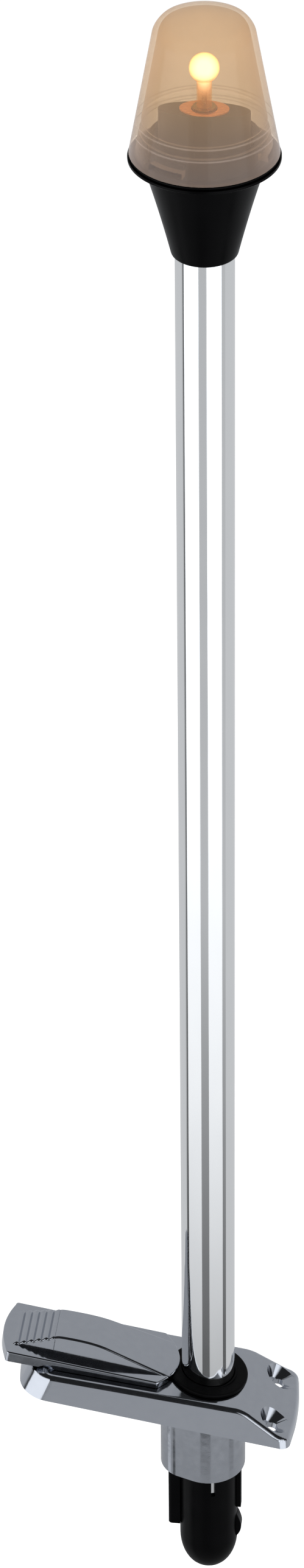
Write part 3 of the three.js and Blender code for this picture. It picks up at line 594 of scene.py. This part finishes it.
def makeSeal():
    inner = housing["collarRadius"] + housing["lugReach"] + seal["collarGap"]
    outer = sealHigh.x
    middle = (sealLow.z + sealHigh.z) / 2
    half = (sealHigh.z - sealLow.z) / 2
    profile = [(inner, middle - half), (outer, middle - half), (outer, middle + half), (inner, middle + half)]
    finish(asObject("seal", lathe(profile)), "globeSeal", "pole", "black_rubber",
           replaces=["globe_seal"], edge=seal["edge"])


makeGlobe()
makeSeal()
print("globe made")

# ---------- pedestal, plate and bulb ----------
pedestal = {
    "halfWidth": 16.9, "halfDepth": 6.1, "footRadius": 18.2, "footHeight": 2.4,
    "grooveHalfWidth": 3.2, "grooveDepth": 0.4, "grooveTop": 1.5, "lampBore": 5.3, "boreFloor": 2.4,
}
plate = {"capGap": 0.3, "edge": 0.2}
bulb = {"neck": 2.8, "wall": 0.5}


def oval(halfWidth, halfDepth, bottom, top, segments=96):
    shape = Matrix.Diagonal((halfWidth, halfDepth, 1, 1))
    return moved(cylinder(1, bottom, top, segments=segments), shape)


def makePedestal():
    p = pedestal
    bottom = pedestalLow.z - headZero
    top = pedestalHigh.z - headZero
    grooves = []
    for side in (-1, 1):
        near = side * (p["halfDepth"] - p["grooveDepth"])
        far = side * (p["halfDepth"] + 2)
        grooves.append(("DIFFERENCE", brick(
            (-p["grooveHalfWidth"], min(near, far), bottom + p["footHeight"]),
            (p["grooveHalfWidth"], max(near, far), top - p["grooveTop"]))))
    obj = worked(
        "pedestal", oval(p["halfWidth"], p["halfDepth"], bottom, top),
        ("UNION", cylinder(p["footRadius"], bottom, bottom + p["footHeight"])),
        ("DIFFERENCE", cylinder(p["lampBore"], p["boreFloor"], top + 1)), *grooves)
    obj.data.transform(Matrix.Translation((0, 0, headZero)))
    finish(obj, "lampPedestal", "pole", "gloss_black", ["lamp_pedestal"], 0.4)


def makePlate():
    low = plateLow.z
    high = plateHigh.z
    obj = worked("plate", oval(plateHigh.x, plateHigh.y, low, high, 64),
                 ("DIFFERENCE", cylinder(capHigh.x + plate["capGap"], low - 1, high + 1)))
    finish(obj, "lampPlate", "pole", "copper", replaces=["lamp_plate"], edge=plate["edge"])


def makeBulbGlass():
    radius = (glassHigh.y - glassLow.y) / 2
    centre = glassHigh.z - radius

    def envelope(outer, neck):
        start = asin(neck / outer)
        angles = [start + i / 24 * (pi - start) for i in range(25)]
        return [(outer * sin(angle), centre - outer * cos(angle)) for angle in angles]

    neck = bulb["neck"]
    wall = bulb["wall"]
    profile = [(neck, glassLow.z), *envelope(radius, neck), *envelope(radius - wall, neck - wall)[::-1],
               (neck - wall, glassLow.z)]
    finish(asObject("glass", lathe(profile, 64)), "bulbGlass", "bulb", "clear_glass",
           replaces=["bulb_glass"])


makePedestal()
makePlate()
makeBulbGlass()
print("lamp made")

# ---------- deck base ----------
base = {
    "left": 81.0, "right": 39.4, "halfWidth": 23.8, "height": 13.1, "draft": 0.27,
    "endBow": 2.6, "cornerLeft": 11.0, "cornerRight": 4.0, "bowLeft": 9.0, "bowRight": 12.0,
    "flangeThickness": 4.6, "rampStart": 14.5, "rampEnd": 32.5, "rampRounding": 3.0, "edgeRounding": 2.0,
    "holeSetback": 11.2, "rearHoleSetback": 10.0, "screwPitch": 28.0, "holeRadius": 2.6,
    "sinkRadius": 6.6, "rearSinkRadius": 5.2, "sinkDepth": 4.2,
    "barrelRadius": 15.6, "lobeRadius": 13.2, "lobeOffset": 7.2, "barrelDepth": 35.4,
    "bore": 12.6, "keyReach": 17.3, "keyHalfWidth": 4.8, "ribReach": 14.3, "ribHalfWidth": 2.1,
    "keyTop": -6.7, "slot": (-73.2, -22.8), "slotHalfWidth": 2.2, "topSkin": 3.0,
    "cavity": (-75.4, -21.0), "cavityHalfWidth": 10.0,
}
slideHeight = base["height"] / (cos(deckRake) + sin(deckRake) * tan(topSlope))
deckFrame = Matrix.Rotation(deckRake, 4, "Y")
slideFrame = Matrix.Translation((0, 0, slideHeight)) @ Matrix.Rotation(slideTilt, 4, "Y")


def topAt(x):
    return base["height"] + x * tan(topSlope)


def basePlate():
    b = base
    left = -b["left"]
    right = b["right"]
    half = b["halfWidth"]
    bow = b["endBow"]
    plan = [
        (left, 0, b["bowLeft"]), (left + bow, -half, b["cornerLeft"]),
        (right - bow, -half, b["cornerRight"]), (right, 0, b["bowRight"]),
        (right - bow, half, b["cornerRight"]), (left + bow, half, b["cornerLeft"]),
    ]
    tall = b["height"] + 3
    body = prism(plan, 0, tall, 10)
    middle = (right + left) / 2
    inset = b["draft"] * tall
    upper = [vert for vert in body.verts if vert.co.z > tall / 2]
    bmesh.ops.scale(body, verts=upper, space=Matrix.Translation((-middle, 0, 0)),
                    vec=(1 - 2 * inset / (right - left), 1 - inset / half, 1))
    low = left - 10
    high = right + 10
    side = [
        (low, 0), (high, 0), (high, b["flangeThickness"]),
        (b["rampEnd"], b["flangeThickness"], b["rampRounding"]),
        (b["rampStart"], topAt(b["rampStart"]), b["rampRounding"]), (low, topAt(low)),
    ]
    plate = backToBmesh(worked("plate", body, ("INTERSECT", sidePrism(side, 4 * half))))

    def onTop(edge):
        heights = [face.normal.z for face in edge.link_faces]
        return max(heights) > 0.6 and min(heights) < 0.5

    return rounded(plate, b["edgeRounding"], 4, onTop)


def screwHole(x, y, surface, lean, radius):
    b = base
    over = 2
    slope = (radius - b["holeRadius"]) / b["sinkDepth"]
    cone = cylinder(b["holeRadius"], -b["sinkDepth"], over, topRadius=radius + over * slope)
    moved(cone, deckFrame @ Matrix.Translation((x, y, surface)) @ Matrix.Rotation(lean, 4, "Y"))
    shank = moved(cylinder(b["holeRadius"], -1, surface + over, x, y), deckFrame)
    return [("DIFFERENCE", shank), ("DIFFERENCE", cone)]


# a round barrel with a lobe for the socket's key, as one smooth outline
def barrel():
    b = base
    contact = acos((b["barrelRadius"] - b["lobeRadius"]) / b["lobeOffset"])

    def arc(radius, middle, start, end, steps=32):
        turns = [start + (end - start) * i / steps for i in range(steps + 1)]
        return [(middle + radius * cos(turn), radius * sin(turn)) for turn in turns]

    plan = arc(b["barrelRadius"], 0, contact - pi, pi - contact)
    plan += arc(b["lobeRadius"], -b["lobeOffset"], pi - contact, pi + contact)[1:-1]
    return prism(plan, -b["barrelDepth"], 5)


def makeBase():
    b = base
    below = -b["barrelDepth"] - 1
    holes = []
    flangeX = b["right"] - b["holeSetback"]
    rearX = -b["left"] + b["rearHoleSetback"]
    fall = atan((topAt(b["rampStart"]) - b["flangeThickness"]) / (b["rampEnd"] - b["rampStart"]))
    rampHeight = topAt(b["rampStart"]) - (flangeX - b["rampStart"]) * tan(fall)
    for y in (-b["screwPitch"] / 2, b["screwPitch"] / 2):
        holes += screwHole(flangeX, y, rampHeight, fall, b["sinkRadius"])
        holes += screwHole(rearX, y, topAt(rearX), -topSlope, b["rearSinkRadius"])
    slot = brick((b["slot"][0], -b["slotHalfWidth"], -2 * b["topSkin"]),
                 (b["slot"][1], b["slotHalfWidth"], 1))
    cavity = brick((b["cavity"][0], -b["cavityHalfWidth"], -3 * b["height"]),
                   (b["cavity"][1], b["cavityHalfWidth"], -b["topSkin"]))
    keyway = brick((-b["keyReach"], -b["keyHalfWidth"], below), (0, b["keyHalfWidth"], b["keyTop"]))
    ribway = brick((0, -b["ribHalfWidth"], below), (b["ribReach"], b["ribHalfWidth"], b["keyTop"]))
    obj = worked(
        "base", moved(basePlate(), deckFrame), ("UNION", barrel()),
        ("DIFFERENCE", cylinder(b["bore"], below, 40)), ("DIFFERENCE", keyway), ("DIFFERENCE", ribway),
        ("DIFFERENCE", moved(slot, slideFrame)), ("DIFFERENCE", moved(cavity, slideFrame)), *holes)
    finish(obj, "baseCasting", "base", "chrome", replaces=["base_casting"], edge=0.3)


makeBase()
print("base made")

# ---------- collar ----------
collar = {
    "radius": 16.7, "gap": 0.3, "height": 1.7, "rounding": 0.9, "neckRadius": 12.2, "neckDepth": 7.0,
    "poleGap": 0.3,
}


def makeCollar():
    c = collar
    top = c["gap"] + c["height"]
    radius = c["radius"]
    crown = quarter((radius, top - c["rounding"]), (radius, top), (radius - c["rounding"], top), 5)
    flange = moved(lathe([(0, c["gap"]), (radius, c["gap"]), *crown, (0, top)], closed=False), slideFrame)
    obj = worked(
        "collar", flange,
        ("UNION", cylinder(c["neckRadius"], slideHeight - c["neckDepth"], slideHeight + 1, segments=96)),
        ("DIFFERENCE", cylinder(poleRadius + c["poleGap"], -10, 40, segments=96)))
    finish(obj, "collarRing", "base", "black_rubber", replaces=["collar_ring"], edge=0.3)


makeCollar()
print("collar made")

# ---------- sliding cover ----------
cover = {
    "left": 88.2, "tip": 12.5, "tipDepth": 7.5, "halfWidth": 16.3, "bow": 3.0, "gap": 0.3,
    "cornerLead": 0.6, "endCorner": 1.5, "brimLeft": 5.6, "brimTip": 3.2, "brimEdge": 0.7,
    "crest": 12.6, "crestX": -65.0, "rampFoot": -84.5, "crownTopHalfWidth": 9.0, "crownDraft": 0.25,
    "crownEdge": 1.0, "crownSink": 0.4, "ridges": 6, "ridgeHeight": 0.6,
    "backPull": (35, 5.4), "shoulder": (21, 1.5), "crestPull": (14, -0.3),  # ahead of and below the crest
    "hollow": (-76.0, -38.0, 7.6, 3.4), "collarRoom": (17.0, 2.3),
    "stems": (-65.0, -58.0), "stemRadius": 1.9, "stemDepth": 3.3,
}


def brimAt(x):
    c = cover
    return c["brimTip"] + (c["brimLeft"] - c["brimTip"]) * (-c["tip"] - x) / (c["left"] - c["tip"])


# seen from above: the thumb end bows out, and the tip is an arc that reaches over the collar
def coverPlan(low, high):
    c = cover
    left = -c["left"] + c["bow"]
    corner = -c["tip"] - c["tipDepth"]
    pull = -2 * c["tip"] - corner - c["cornerLead"]
    half = c["halfWidth"]
    lead = corner + c["cornerLead"]
    turn = c["endCorner"]
    tip = quarter((lead, -half + 1), (pull, 0), (lead, half - 1), 16)
    end = quarter((left, half - turn), (left - 2 * c["bow"], 0), (left, -half + turn), 16)
    near = quarter(end[-1], (left, -half), (left + turn, -half), 5)[1:]
    near += quarter((corner - 1, -half), (corner, -half), tip[0], 5)[:-1]
    far = quarter(tip[-1], (corner, half), (corner - 1, half), 5)[1:]
    far += quarter((left + turn, half), (left, half), end[0], 5)[:-1]
    return prism([*near, *tip, *far, *end[:-1]], low, high)


# the crown's height along the cover: a long convex back, the crest, and the ridged thumb ramp
def crownLine():
    c = cover
    foot = brimAt(c["rampFoot"]) - c["crownSink"]
    pitch = (c["crestX"] - c["rampFoot"]) / (c["ridges"] + 0.5)
    rise = (c["crest"] - c["ridgeHeight"] - foot) / (c["ridges"] + 0.5)
    end = -c["tip"] - 2
    pull, shoulder, crestPull = [
        (c["crestX"] + ahead, c["crest"] - below)
        for ahead, below in (c["backPull"], c["shoulder"], c["crestPull"])]
    line = quarter((end, c["brimTip"] - c["crownSink"]), pull, shoulder, 20)
    line += quarter(shoulder, crestPull, (c["crestX"] + 2, c["crest"]), 10)[1:]
    line += quarter(line[-1], (c["crestX"], c["crest"]), (c["crestX"] - 1, c["crest"] - 0.6), 3)[1:]
    for i in range(c["ridges"], 0, -1):
        x = c["rampFoot"] + i * pitch
        height = foot + i * rise
        line += quarter((x + 0.3 * pitch, height), (x, height + 2 * c["ridgeHeight"]),
                        (x - 0.4 * pitch, height - 0.3 * rise), 5)
    return [*line, (c["rampFoot"], foot)]


# sections of the crown, each with leaning sides and rounded top corners, bridged into one body
def crownBody():
    c = cover
    bm = bmesh.new()
    last = None
    for x, top in crownLine():
        edge = min(c["crownEdge"], 0.4 * (top - 1))

        def halfAt(height):
            return c["crownTopHalfWidth"] + c["crownDraft"] * (c["crest"] - height)

        side = [(halfAt(1), 1), *quarter((halfAt(top - edge), top - edge), (halfAt(top), top),
                                         (halfAt(top) - edge, top), 5)]
        outline = side + [(-y, z) for y, z in reversed(side)]
        verts = [bm.verts.new((x, y, z)) for y, z in outline]
        loop = [bm.edges.new(pair) for pair in zip(verts, verts[1:] + verts[:1])]
        if last:
            bmesh.ops.bridge_loops(bm, edges=last + loop)
        else:
            bm.faces.new(verts)
        last = loop
    bm.faces.new(verts)
    return bm


def makeCover():
    c = cover
    low = -c["left"] - 5
    brimSide = [(low, c["gap"]), (0, c["gap"]), (0, brimAt(0)), (low, brimAt(low))]
    brim = backToBmesh(worked("brim", coverPlan(-1, 20), ("INTERSECT", sidePrism(brimSide, 60))))
    rounded(brim, c["brimEdge"], 3, lambda e: sharp(e) and max(f.normal.z for f in e.link_faces) > 0.6)
    back, front, hollowHalf, roof = c["hollow"]
    roomRadius, roomHeight = c["collarRoom"]
    stems = [("UNION", cylinder(c["stemRadius"], -c["stemDepth"], roof + 1, x, 0, 24)) for x in c["stems"]]
    obj = worked(
        "cover", brim, ("UNION", crownBody()),
        ("INTERSECT", coverPlan(0, 20)),
        ("DIFFERENCE", brick((back, -hollowHalf, -1), (front, hollowHalf, roof))),
        ("DIFFERENCE", cylinder(roomRadius, -1, roomHeight)), *stems)
    obj.data.transform(slideFrame)
    finish(obj, "slidingCover", "cover", "chrome", replaces=["cover"])


makeCover()
print("cover made")

# ---------- socket below the deck ----------
socket = {
    "radius": 12.3, "poleGap": 0.3, "nose": 16.0, "inlet": 3.0,
    "ledge": -58.1, "ledgeRadius": 9.6, "blockBottom": -73.1,
    "lowerRadius": 8.0, "floor": 3.0, "keyReach": 17.0, "keyHalfWidth": 4.5, "keyTop": -7.0,
    "keyRounding": 1.6, "latchGap": 0.1,
    "keyBottom": -69.5, "ribReach": 14.0, "ribHalfWidth": 1.8, "ribBottom": -60.0,
    "slotWidth": 1.6, "slotBottom": -46.0, "slotTurn": radians(-75),
    "latchWidth": 5.0, "latchThickness": 1.5, "latchTop": -63.5, "latchBottom": -76.0, "latchReach": 14.0,
}


def makeSocket():
    s = socket
    bottom = socketLow.z
    top = socketHigh.z
    bore = poleRadius + s["poleGap"]
    radius = s["radius"]
    floor = bottom + s["floor"]
    nose = []
    for i in range(13):
        angle = i / 12 * pi / 2
        nose.append((s["inlet"] + (radius - s["inlet"]) * sin(angle), bottom + s["nose"] * (1 - cos(angle))))
    profile = [
        *nose, (radius, top), (bore, top), (bore, s["ledge"]), (s["ledgeRadius"], s["ledge"]),
        (s["ledgeRadius"], s["blockBottom"]), (s["lowerRadius"], s["blockBottom"]),
        (s["lowerRadius"], floor + 3), (s["lowerRadius"] - 2, floor), (s["inlet"], floor),
    ]
    wall = (bore + radius) / 2
    reach, half, rounding = s["keyReach"], s["keyHalfWidth"], s["keyRounding"]
    key = prism([(-reach, -half, rounding), (-wall, -half), (-wall, half), (-reach, half, rounding)],
                s["keyBottom"], s["keyTop"], 5)
    rib = brick((wall, -s["ribHalfWidth"], s["ribBottom"]), (s["ribReach"], s["ribHalfWidth"], s["keyTop"]))
    slot = brick((0, -s["slotWidth"] / 2, s["slotBottom"]), (radius + 1, s["slotWidth"] / 2, 20))
    room = s["latchWidth"] / 2 + s["latchGap"]
    seat = brick((radius - s["latchThickness"], -room, s["latchBottom"] - s["latchGap"]),
                 (radius + 3, room, s["latchTop"] + s["latchGap"]))
    obj = worked(
        "socket", lathe(profile), ("UNION", key), ("UNION", rib),
        ("DIFFERENCE", cylinder(bore, s["ledge"], 20, segments=96)),
        ("DIFFERENCE", moved(slot, Matrix.Rotation(s["slotTurn"], 4, "Z"))), ("DIFFERENCE", seat))
    finish(obj, "socketBody", "base", "black_plastic", replaces=["socket_body"], edge=0.35)


def makeLatch():
    s = socket
    back = s["radius"] - s["latchThickness"] + s["latchGap"]
    tall = s["latchTop"] - s["latchBottom"]
    nose = quarter((s["radius"], s["latchBottom"]), (s["latchReach"] + 1.2, s["latchBottom"] + 0.3 * tall),
                   (s["latchReach"] - 0.4, s["latchTop"] - 0.3 * tall), 8)
    nose += quarter(nose[-1], (s["radius"] + 0.6, s["latchTop"] - 0.1 * tall),
                    (s["radius"] - 0.2, s["latchTop"]), 6)[1:]
    outline = [(back, s["latchBottom"]), *nose, (back, s["latchTop"])]
    finish(asObject("latch", sidePrism(outline, s["latchWidth"])), "socketLatch", "base", "black_plastic",
           replaces=["socket_latch"], edge=0.3)


makeSocket()
makeLatch()
print("socket made")

# ---------- CAD parts that stay, with their finishes ----------
slotOf = {part["node"]: part["material_slot"] for part in frame["record"]["subparts"]}
for nodeName, node in frame["nodes"].items():
    node.data.materials.clear()
    node.data.materials.append(finishes[slotOf[nodeName]])
print("carried parts finished")

# ---------- studio ----------
studio = {
    "floorDrop": 0.32, "floorSize": 12.0, "surroundRadius": 1.5, "centre": (0, 0, 0.3), "world": 1.0,
    "lightPower": 26, "lightSize": (1.2, 1.8),
    # bearings in degrees, 0 towards the front and more to the right
    "leftBox": (-82, -19), "rightBox": (12, 73), "front": (-95, 90), "leftEdge": (-90, -82),
    "strip": (-94, -79), "stand": (-69, -54),
    # two brightnesses and the two heights in metres between which one turns into the other
    "boxTone": (0.95, 1.5, -0.72, -0.35), "gapTone": (0.08, 0.52, -0.84, -0.6),
    "duskTone": (1.0, 0.05, -0.2, 0.05), "backTone": (0.6, 0.5, -0.2, 0.3),
    "boxFoot": (-0.98, -0.68), "boxHead": (0.9, 0.3), "nearFloor": (-0.836, -0.85),
}


def makeFloor():
    bm = bmesh.new()
    level = Matrix.Translation((0, 0, socketLow.z * mm - studio["floorDrop"]))
    bmesh.ops.create_grid(bm, x_segments=1, y_segments=1, size=studio["floorSize"], matrix=level)
    mesh = bpy.data.meshes.new("floor")
    bm.to_mesh(mesh)
    bm.free()
    floor = bpy.data.objects.new("floor", mesh)
    collection.objects.link(floor)
    material, tree, output, place = startMaterial("paintedBoard")
    principled(tree, output, {"Base Color": hexColour("#F8F8F8"), "Roughness": 0.9})
    mesh.materials.append(material)
    floor.visible_glossy = False


# What the bright metal mirrors: a dim room with a tall soft box on each side of the camera.
def makeSurround():
    bm = bmesh.new()
    centre = Matrix.Translation(studio["centre"])
    bmesh.ops.create_uvsphere(bm, u_segments=48, v_segments=24, radius=studio["surroundRadius"])
    mesh = bpy.data.meshes.new("surround")
    bm.to_mesh(mesh)
    bm.free()
    mesh.transform(centre)
    surround = bpy.data.objects.new("surround", mesh)
    collection.objects.link(surround)
    material, tree, output, place = startMaterial("studioSurround")
    split = addNode(tree, "ShaderNodeSeparateXYZ", {"Vector": place}).outputs
    front = addNode(tree, "ShaderNodeMath", {0: split["Y"], 1: -1.0}, operation="MULTIPLY").outputs[0]
    bearing = addNode(tree, "ShaderNodeMath", {0: split["X"], 1: front}, operation="ARCTAN2").outputs[0]
    height = split["Z"]

    def step(value, start, end):
        return addNode(tree, "ShaderNodeMapRange", {
            "Value": value, "From Min": start, "From Max": end}, interpolation_type="SMOOTHSTEP").outputs[0]

    def times(first, second):
        return addNode(tree, "ShaderNodeMath", {0: first, 1: second}, operation="MULTIPLY").outputs[0]

    def plus(first, second):
        return addNode(tree, "ShaderNodeMath", {0: first, 1: second}, operation="ADD").outputs[0]

    # 1 between two bearings and 0 outside them, with soft edges
    def window(name, softness=1.5):
        start, end = [radians(angle) for angle in studio[name]]
        soft = radians(softness)
        return times(step(bearing, start - soft, start + soft), step(bearing, end + soft, end - soft))

    def tone(name):
        return between(tree, height, *studio[name])

    boxes = times(plus(window("leftBox"), window("rightBox")), tone("boxTone"))
    boxes = times(boxes, times(step(height, *studio["boxFoot"]), step(height, *studio["boxHead"])))
    inFront = window("front", 2)
    gap = tone("gapTone")
    dusk = tone("duskTone")  # the dark room above the soft boxes' feet
    shade = between(tree, window("leftEdge"), 1.0, 0.3, 0.0, 1.0)
    frontTone = times(times(gap, dusk), shade)
    mixTone = addNode(tree, "ShaderNodeMix", {0: inFront}, data_type="FLOAT")
    tree.links.new(tone("backTone"), mixTone.inputs[2])
    tree.links.new(frontTone, mixTone.inputs[3])
    upper = addNode(tree, "ShaderNodeMath", {
        0: mixTone.outputs[0], 1: boxes}, operation="MAXIMUM").outputs[0]
    # down by the floor: a lit strip at the far left and a dark stand beside it
    strip = between(tree, window("strip", 2), 0.42, 0.8, 0.0, 1.0)
    stand = between(tree, window("stand", 2), 1.0, 0.25, 0.0, 1.0)
    nearFloor = addNode(tree, "ShaderNodeMix", {0: step(height, *studio["nearFloor"])}, data_type="FLOAT")
    tree.links.new(upper, nearFloor.inputs[2])
    tree.links.new(times(strip, stand), nearFloor.inputs[3])
    glow = addNode(tree, "ShaderNodeEmission", {
        "Strength": nearFloor.outputs[0], "Color": hexColour("#FAFCFF")})
    tree.links.new(glow.outputs[0], output.inputs["Surface"])
    mesh.materials.append(material)
    surround.visible_camera = False
    surround.visible_diffuse = False
    surround.visible_transmission = False
    surround.visible_shadow = False


def makeLight(name, place):
    light = bpy.data.lights.new(name, "AREA")
    light.shape = "RECTANGLE"
    light.size, light.size_y = studio["lightSize"]
    light.energy = studio["lightPower"]
    obj = bpy.data.objects.new(name, light)
    aim = Vector(studio["centre"]) - Vector(place)
    obj.matrix_world = Matrix.Translation(place) @ aim.to_track_quat("-Z", "Y").to_matrix().to_4x4()
    obj.visible_camera = False
    obj.visible_glossy = False
    collection.objects.link(obj)


makeFloor()
makeSurround()
makeLight("leftSoftBox", (-1.7, -1.2, 1.3))
makeLight("rightSoftBox", (1.7, -1.2, 1.3))
world = bpy.data.worlds.new("studio")
world.use_nodes = True
world.node_tree.nodes["Background"].inputs["Color"].default_value = (1, 1, 1, 1)
world.node_tree.nodes["Background"].inputs["Strength"].default_value = studio["world"]
bpy.context.scene.world = world
bpy.context.scene.view_settings.view_transform = "Standard"
print("studio made")
